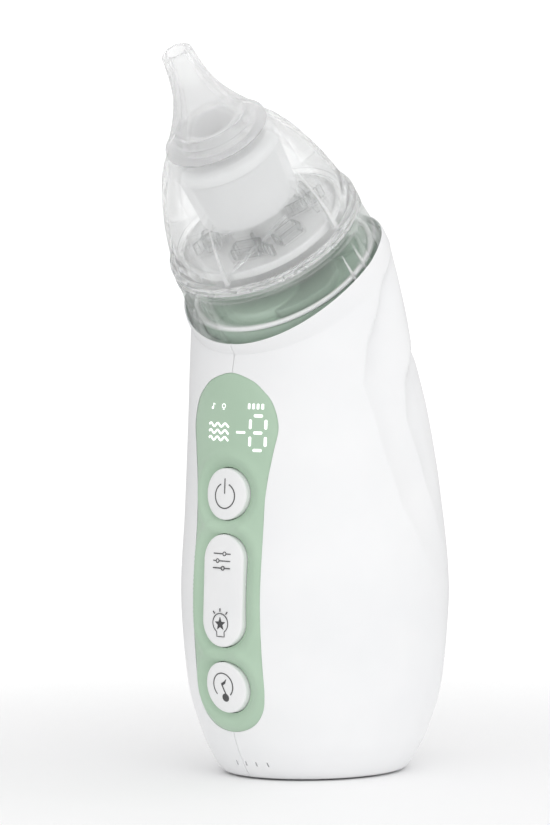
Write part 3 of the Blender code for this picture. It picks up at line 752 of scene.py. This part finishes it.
def make_display():
    """Lit signs on the panel: level digit, a dash, an air-flow sign, battery bars, a note and a lamp."""
    bm = bmesh.new()
    for z in DIGIT_BARS_Z:
        add_patch(bm, bar(DIGIT_X, z, 1.1, 0.36, 0.34), panel_y)
    for x in DIGIT_SIDES_X:
        for z in DIGIT_SIDES_Z:
            add_patch(bm, bar(x, z, 0.33, 1.15, 0.32), panel_y)
    add_patch(bm, bar(DASH_X, DASH_Z, 1.25, 0.28, 0.2), panel_y)
    for i in range(4):
        add_patch(bm, bar(BATTERY_X + BATTERY_STEP * i, BATTERY_Z, 0.3, 0.66, 0.2), panel_y)
    for z in WAVES_Z:
        wave = [(WAVES_X + WAVE_STEP * i, z + WAVE_HEIGHT * math.sin(WAVE_TURN * i)) for i in range(20)]
        add_stroke(bm, wave, 0.5, panel_y)
    add_stroke(bm, ring(LAMP_X, LAMP_Z, 0.5, 18), FINE, panel_y, closed=True)
    add_stroke(bm, [(LAMP_X - 0.25, LAMP_Z - 0.8), (LAMP_X + 0.25, LAMP_Z - 0.8)], FINE, panel_y)
    add_patch(bm, ring(NOTE_X, NOTE_Z, 0.34, 14), panel_y)
    stem_x = NOTE_X + 0.28
    add_stroke(bm, [(stem_x, NOTE_Z), (stem_x, NOTE_Z + 1.1), (NOTE_X + 0.9, NOTE_Z + 0.85)], FINE, panel_y)
    finish_piece("display_signs", bm, GLOW, "housing")


make_power_icon()
make_rocker_icons()
make_music_icon()
make_display()


# ------------------------------------------------------------------ head

DECK_TOP = -9.9  # where the petals' sides end, just inside the deck
# Overlapping petals moulded on the deck: centre x and y, radii, and height of the top.
# Painted light: these petals take the lighter copy of the deck's green.
PAINTED_LIGHT_PETALS = [(1.8, -11.2, 10.2, 8.6, -6.9), (-8.0, 9.0, 9.5, 8.0, -7.2)]
# Painted shade: these petals take the darker copy of the deck's green.
PAINTED_SHADE_PETALS = [(-8.6, -9.2, 9.4, 8.6, -7.5), (11.6, -7.0, 7.6, 10.2, -7.3), (7.0, 10.0, 8.5, 7.5, -7.6)]
# A petal's rounded edge above its side: share of its radii, and height from its top.
PETAL_EDGE = [(1.0, -0.3), (0.985, -0.12), (0.955, -0.02), (0.9, 0.02), (0.5, 0.2)]
PETAL_LIMIT = 20.6  # the petals are pulled in to this radius, inside the seal


def make_petals(name, petals, finish):
    """Low elliptical pads with rounded edges that stand on the deck."""
    bm = bmesh.new()
    sides = 72
    for cx, cy, rx, ry, top in petals:
        rows = []
        for share, height in [(1.0, DECK_TOP), *((share, top + drop) for share, drop in PETAL_EDGE)]:
            row = []
            for i in range(sides):
                phi = 2 * math.pi * i / sides
                x, y = cx + rx * share * math.cos(phi), cy + ry * share * math.sin(phi)
                over = max(math.hypot(x, y) / PETAL_LIMIT, 1.0)
                row.append(bm.verts.new(Vector((x / over, y / over, height)) * MM))
            rows.append(row)
        for low, high in zip(rows, rows[1:]):
            for i in range(sides):
                j = (i + 1) % sides
                bm.faces.new((low[i], low[j], high[j], high[i]))
        bm.faces.new(rows[-1])
        bm.faces.new(rows[0][::-1])
    finish_piece(name, bm, finish, "housing", (), 40, HEAD)


def make_deck():
    """The green deck with a suction spigot in its middle, its petals, and the seal round it."""
    crown = [(6.2 + 0.35 * i, -8.5 - 0.0055 * (0.35 * i) ** 2) for i in range(41)]
    profile = [(0.75, -5.2), (1.0, -5.0), (3.6, -5.0), (4.1, -5.4), (4.1, -8.4), (4.6, -8.6), *crown,
               (20.9, -9.75), (21.2, -10.0), (22.3, -10.0), (22.45, -10.15), (22.45, -17.4), (2.0, -17.5),
               (1.4, -18.0), (1.4, -22.9), (0.75, -22.9)]
    spun("deck_skin", profile, DECK_GREEN, "housing", ("deck",), 180, 0.0, 50)
    # The petals are one green moulding; their lighter and darker greens are painted light and painted shade.
    make_petals("deck_petals_painted_light", PAINTED_LIGHT_PETALS, PETAL_PAINTED_LIGHT)
    make_petals("deck_petals_painted_shade", PAINTED_SHADE_PETALS, PETAL_PAINTED_SHADE)
    seal = [(22.75, -9.25), (22.55, -8.8), (22.1, -8.65), (21.65, -8.8), (21.45, -9.25), (21.65, -9.65),
            (22.1, -9.8), (22.55, -9.65)]
    spun("cup_seal_skin", seal, WHITE_SEAL, "housing", ("cup_seal",), 160, 0.0, 60)


RIB_STEPS = 14
RIB_NARROWS, RIB_THINS = 0.9, 0.93  # how much of its width and depth a rib loses by its tip
RIDGE_SHARE = 0.4


def rib(bm, degrees, root, tip, wall_at, wide, deep):
    """A slender fin inside a wall, from height root to height tip, at an angle round the head's axis."""
    phi = math.radians(degrees)
    out = Vector((math.cos(phi), math.sin(phi), 0.0))
    side = Vector((-math.sin(phi), math.cos(phi), 0.0))
    rows = []
    for i in range(RIB_STEPS + 1):
        t = i / RIB_STEPS
        h = root + (tip - root) * t
        wall = wall_at(h)
        w, d = wide / 2 * (1 - RIB_NARROWS * t), deep * (1 - RIB_THINS * t)
        corners = ((wall, w), (wall - d, w * RIDGE_SHARE), (wall - d, -w * RIDGE_SHARE), (wall, -w))
        rows.append([bm.verts.new((out * r + side * s + Vector((0.0, 0.0, h))) * MM) for r, s in corners])
    for low, high in zip(rows, rows[1:]):
        for k in range(4):
            bm.faces.new((low[k], low[(k + 1) % 4], high[(k + 1) % 4], high[k]))
    bm.faces.new(rows[0][::-1])
    bm.faces.new(rows[-1])


CUP_RIBS = (-4.0, 8.0, 172.0, -176.0)


def cup_wall(h):
    """The inner radius of the cup's skirt at a height."""
    return 23.25 - (h + 12.6) * 0.104


def make_cup():
    """The clear cup, its cloudy floor, the seal under the dome, and the ribs inside the cup's skirt."""
    outer = [(24.9, -12.6), (24.55, -9.5), (24.2, -6.5), (23.85, -3.0), (23.62, -0.6)]
    inner = [(21.9, -2.7), (22.45, -4.4), (22.75, -6.5), (23.1, -9.5), (23.4, -12.6)]
    profile = smooth_loop(outer, [(23.9, -0.3), (23.9, 0.35)], [(23.6, 0.45), (23.6, 0.6)],
                          [(23.88, 0.7), (23.88, 1.0)], [(22.0, 1.0), (21.95, -0.2)],
                          [(21.7, -1.1), (19.3, -1.3)], [(19.3, -2.1), (21.6, -2.3)], inner)
    spun("lower_cup_skin", profile, CUP_CLEAR, "collection_cup", ("lower_cup",), 160)
    floor = smooth_loop([(19.2, -1.7), (19.0, -1.3)], [(5.0, -1.3), (4.5, -1.9)], [(4.5, -8.0), (5.9, -8.0)],
                        [(5.9, -2.5), (18.9, -2.5), (19.2, -2.2)], steps=1)
    spun("cup_floor_skin", floor, CLOUDED, "collection_cup", (), 120)
    seal = [(23.55, 1.38), (23.78, 1.55), (23.78, 2.1), (23.55, 2.28), (21.7, 2.28), (21.6, 1.38)]
    spun("dome_seal_skin", seal, SEAL, "cup_carrier", ("dome_seal",), 160, 0.0, 30)
    bm = bmesh.new()
    for degrees in CUP_RIBS:
        rib(bm, degrees, -11.6, -2.8, cup_wall, 1.1, 0.6)
    # The ribs' white is a painted highlight.
    finish_piece("cup_ribs", bm, RIB_PAINTED_HIGHLIGHT, "collection_cup", (), 30, HEAD)


DOME_RIBS = ((-80.0, 18.5), (4.0, 20.5), (-128.0, 15.0), (150.0, 20.0))  # angle, and height of the tip
DOME_WALL = [(2.6, 21.3), (7.6, 21.0), (12.5, 20.0), (17.3, 18.5), (21.9, 16.6), (25.7, 14.5), (27.8, 13.0)]
RIB_ROOT = 0.1  # how far a rib's root goes into the wall


def dome_wall(h):
    """The radius of a rib's root on the dome's inner wall at a height."""
    for (a, ra), (b, rb) in zip(DOME_WALL, DOME_WALL[1:]):
        if h <= b:
            return ra + (rb - ra) * (h - a) / (b - a) + RIB_ROOT
    return DOME_WALL[-1][1] + RIB_ROOT


def make_dome():
    """The clear dome, with a collar at its top for the nozzle and slender ribs inside."""
    outer = [(12.5, 30.55), (13.8, 29.5), (15.6, 27.0), (17.6, 23.0), (19.5, 18.0), (21.05, 13.0),
             (22.2, 8.0), (22.9, 4.9)]
    inner = [(21.25, 2.65), (21.2, 5.0), (20.9, 8.6), (20.0, 12.5), (18.5, 17.3), (16.6, 21.9), (14.5, 25.7),
             (13.0, 27.8), (11.6, 28.9)]
    profile = smooth_loop([(8.5, 35.2), (8.6, 34.9)], [(8.6, 31.0), (11.9, 30.8)], outer,
                          [(23.35, 4.6), (23.35, 4.3)], [(23.15, 4.2), (23.15, 4.05)],
                          [(23.75, 3.9), (23.78, 2.65)], inner, [(7.4, 29.1), (7.4, 35.2)])
    spun("dome_skin", profile, CLEAR, "dome_cap", ("dome",), 180)
    bm = bmesh.new()
    for degrees, tip in DOME_RIBS:
        rib(bm, degrees, 3.2, tip, dome_wall, 1.3, 1.3)
    # The ribs' white is a painted highlight.
    finish_piece("dome_ribs", bm, RIB_PAINTED_HIGHLIGHT, "dome_cap", (), 30, HEAD)


def make_duct():
    """The frosted duct that hangs inside the dome."""
    outer = [(11.0, 28.25), (12.3, 27.4), (12.95, 26.4), (13.15, 25.4)]
    profile = smooth_loop([(5.8, 35.1), (7.0, 35.1)], [(7.0, 28.75), (10.6, 28.4)], outer,
                          [(12.75, 25.2), (12.2, 11.7)], [(11.3, 11.7), (11.8, 24.4)],
                          [(11.2, 26.0), (10.4, 27.0)], [(5.8, 27.4), (5.8, 29.0)])
    spun("inner_duct_skin", profile, FROSTED, "dome_cap", ("inner_duct",), 144)


def make_nozzle():
    """The soft nozzle: a flared skirt that holds on to the dome's collar, and a narrow rounded tip."""
    outer = [(3.72, 55.3), (3.85, 54.0), (4.0, 52.6), (4.5, 48.9), (5.4, 45.0), (7.0, 41.0), (9.2, 37.0),
             (11.1, 34.1), (12.25, 32.7)]
    tip = [(2.25, 55.72), (2.7, 55.8), (3.3, 55.7)]
    inner = [(8.9, 35.65), (8.0, 36.0), (6.9, 37.6), (5.2, 40.8), (3.8, 44.6), (2.9, 48.4), (2.3, 52.4),
             (2.1, 55.3)]
    profile = smooth_loop(tip, outer, [(12.68, 32.3), (12.68, 31.45)], [(12.5, 31.3), (9.0, 31.3)],
                          [(9.0, 33.2), (9.3, 33.3)], [(9.3, 33.6), (9.0, 33.7)], inner)
    spun("nozzle_skin", profile, SILICONE, "nozzle_tip", ("nozzle",), 144, 0.08)


def add_bar(bm, start, end, wide, tall):
    """A square bar between two points of the head's frame."""
    start, end = Vector(start), Vector(end)
    along = (end - start).normalized()
    side = along.cross(Vector((0, 0, 1))).normalized() * wide / 2
    up = side.cross(along).normalized() * tall / 2
    rows = [[bm.verts.new((p + s + u) * MM) for s, u in ((side, up), (-side, up), (-side, -up), (side, -up))]
            for p in (start, end)]
    for k in range(4):
        bm.faces.new((rows[0][k], rows[0][(k + 1) % 4], rows[1][(k + 1) % 4], rows[1][k]))
    bm.faces.new(rows[0][::-1])
    bm.faces.new(rows[1])


VANES, VANE_TURN = 4, 25.0  # swirl vanes, and the angle of the first one
VANE_R, VANE_STEP, VANE_CURL, VANE_Z = 7.4, 1.15, 0.05, 6.1
# Small open boxes on the tray: angle, radius, and half the length.
BOXES = ((-70, 11.5, 3.2), (-20, 12.5, 3.0), (60, 12.0, 3.4), (150, 12.5, 3.2), (-140, 12, 3.2))
BOX_Z, BOX_DEPTH = 6.0, 0.55
STRUTS = (((4.0, -17.5, 5.0), (13.5, -4.0, 10.6)), ((14.5, 5.0, 5.0), (6.0, 9.5, 10.6)),
          ((-14.0, 4.0, 5.0), (-6.5, 8.0, 10.4)))


def make_separator():
    """The separator: a standpipe in a tray with a rolled edge, and clear vanes, boxes and slanted struts."""
    tray = smooth_loop([(4.8, 9.6), (6.3, 9.5)], [(6.6, 7.0), (6.9, 5.2), (7.6, 4.6), (9.0, 4.4)],
                       [(18.2, 4.4), (18.9, 4.7)], [(19.3, 5.2), (19.75, 5.1)], [(19.8, 3.3), (19.4, 3.0)],
                       [(6.2, 3.0), (6.2, -1.05)], [(4.8, -1.05), (4.8, 0.0)])
    spun("separator_skin", tray, CLOUDED, "collection_cup", ("separator",), 120, 0.15)
    bm = bmesh.new()
    for i in range(VANES):
        base = math.radians(VANE_TURN + 360 / VANES * i)
        points = []
        for k in range(9):
            radius, phi = VANE_R + VANE_STEP * k, base + VANE_CURL * k
            points.append((radius * math.cos(phi), radius * math.sin(phi), VANE_Z))
        for start, end in zip(points, points[1:]):
            add_bar(bm, start, end, 0.9, 3.1)
    for degrees, radius, size in BOXES:
        phi = math.radians(degrees)
        centre = Vector((radius * math.cos(phi), radius * math.sin(phi), BOX_Z))
        across = Vector((-math.sin(phi), math.cos(phi), 0.0)) * size
        out = Vector((math.cos(phi), math.sin(phi), 0.0)) * size * BOX_DEPTH
        for sign in (-1, 1):
            add_bar(bm, centre + out * sign - across, centre + out * sign + across, 0.7, 2.8)
            add_bar(bm, centre + across * sign - out, centre + across * sign + out, 0.7, 2.6)
    for start, end in STRUTS:
        add_bar(bm, start, end, 0.9, 0.7)
    bmesh.ops.bevel(bm, geom=list(bm.edges), offset=0.12 * MM, segments=1, profile=0.5, affect="EDGES")
    finish_piece("separator_vanes", bm, VANE, "collection_cup", (), 30, HEAD)


make_deck()
make_cup()
make_separator()
make_dome()
make_duct()
make_nozzle()


# ------------------------------------------------------------------ studio

# From here on, lengths are in metres.
FLOOR_SIZE = 1.6
FLOOR_WHOLE, FLOOR_GONE = 0.06, 0.34  # distances from the object between which the floor fades out
KEY_AT, KEY_TARGET, KEY_SIZE, KEY_POWER = Vector((0.62, -0.42, 0.6)), Vector((0.0, 0.0, 0.09)), 0.4, 0.6
# The studio's brightness, and how much more comes from the right, from the camera's side and from above.
WORLD_MEAN, WORLD_SIDE, WORLD_FRONT, WORLD_TOP = 0.82, 0.12, 0.19, 0.2
WORLD_SEEN = 1.12  # brightness of the plain white behind the object
WORLD_TURN = math.radians(40.0)
CAMERA_TURN, CAMERA_RISE, CAMERA_DISTANCE, CAMERA_LENS = math.radians(40.2), math.radians(4.0), 1.4, 255.0
CAMERA_TARGET = Vector((-0.0073, -0.0062, 0.086))


def make_floor():
    """A matt white floor that fades out round the object, so that it runs into the white behind it."""
    finish = material("studio_floor", (0.95, 0.95, 0.955), (0.965, 0.965, 0.967), (0.6, 0.75), 3.0)
    tree = finish.node_tree
    place = node(tree, "ShaderNodeNewGeometry").outputs["Position"]
    length = node(tree, "ShaderNodeVectorMath", {0: place}, operation="LENGTH").outputs["Value"]
    ends = {"From Min": FLOOR_WHOLE, "From Max": FLOOR_GONE, "To Min": 1.0, "To Max": 0.0}
    fade = node(tree, "ShaderNodeMapRange", {"Value": length, **ends}, interpolation_type="SMOOTHSTEP")
    tree.links.new(fade.outputs["Result"], tree.nodes["Principled BSDF"].inputs["Alpha"])
    bm = bmesh.new()
    bmesh.ops.create_grid(bm, x_segments=1, y_segments=1, size=0.5)
    mesh = bpy.data.meshes.new("studio_floor")
    bm.to_mesh(mesh)
    bm.free()
    mesh.materials.append(finish)
    floor = bpy.data.objects.new("studio_floor", mesh)
    floor.scale = (FLOOR_SIZE, FLOOR_SIZE, 1.0)
    bpy.context.scene.collection.objects.link(floor)


def make_key_light():
    """A soft square light above the object, to the right of the camera."""
    data = bpy.data.lights.new("key", "AREA")
    data.shape = "RECTANGLE"
    data.size = data.size_y = KEY_SIZE
    data.energy = KEY_POWER
    light = bpy.data.objects.new("key", data)
    bpy.context.scene.collection.objects.link(light)
    light.location = KEY_AT
    light.rotation_euler = (KEY_TARGET - KEY_AT).to_track_quat("-Z", "Y").to_euler()


def make_world():
    """A bright studio, brighter on the right, towards the camera and above, with plain white behind."""
    world = bpy.data.worlds.new("studio")
    world.use_nodes = True
    tree = world.node_tree
    direction = node(tree, "ShaderNodeTexCoord").outputs["Generated"]
    cos, sin = math.cos(WORLD_TURN), math.sin(WORLD_TURN)
    ways = (((cos, sin, 0.0), WORLD_SIDE), ((sin, -cos, 0.0), WORLD_FRONT), ((0.0, 0.0, 1.0), WORLD_TOP))
    light = WORLD_MEAN
    for way, share in ways:
        facing = node(tree, "ShaderNodeVectorMath", {0: direction, 1: way}, operation="DOT_PRODUCT")
        light = node(tree, "ShaderNodeMath", {0: facing.outputs["Value"], 1: share, 2: light},
                     operation="MULTIPLY_ADD").outputs["Value"]
    path = node(tree, "ShaderNodeLightPath").outputs
    seen = node(tree, "ShaderNodeMath", {0: path["Is Camera Ray"], 1: path["Is Transmission Ray"]},
                operation="MAXIMUM").outputs["Value"]
    strength = node(tree, "ShaderNodeMix", {"Factor": seen, "A": light, "B": WORLD_SEEN}).outputs["Result"]
    background = tree.nodes["Background"]
    background.inputs["Color"].default_value = (1.0, 1.0, 1.0, 1.0)
    tree.links.new(strength, background.inputs["Strength"])
    bpy.context.scene.world = world


def make_camera():
    """The photo's camera: CAMERA_TURN to the object's side, CAMERA_RISE above level."""
    level = math.cos(CAMERA_RISE)
    back = Vector((math.sin(CAMERA_TURN) * level, -math.cos(CAMERA_TURN) * level, math.sin(CAMERA_RISE)))
    data = bpy.data.cameras.new("camera")
    data.lens = CAMERA_LENS
    camera = bpy.data.objects.new("camera", data)
    bpy.context.scene.collection.objects.link(camera)
    camera.location = CAMERA_TARGET + back * CAMERA_DISTANCE
    camera.rotation_euler = back.to_track_quat("Z", "Y").to_euler()
    bpy.context.scene.camera = camera


def set_view():
    """Plain colours, and enough light bounces for the nested clear walls."""
    scene = bpy.context.scene
    scene.view_settings.view_transform = "Standard"
    scene.cycles.max_bounces = 20
    scene.cycles.transmission_bounces = 20
    scene.cycles.transparent_max_bounces = 24


make_floor()
make_key_light()
make_world()
make_camera()
set_view()
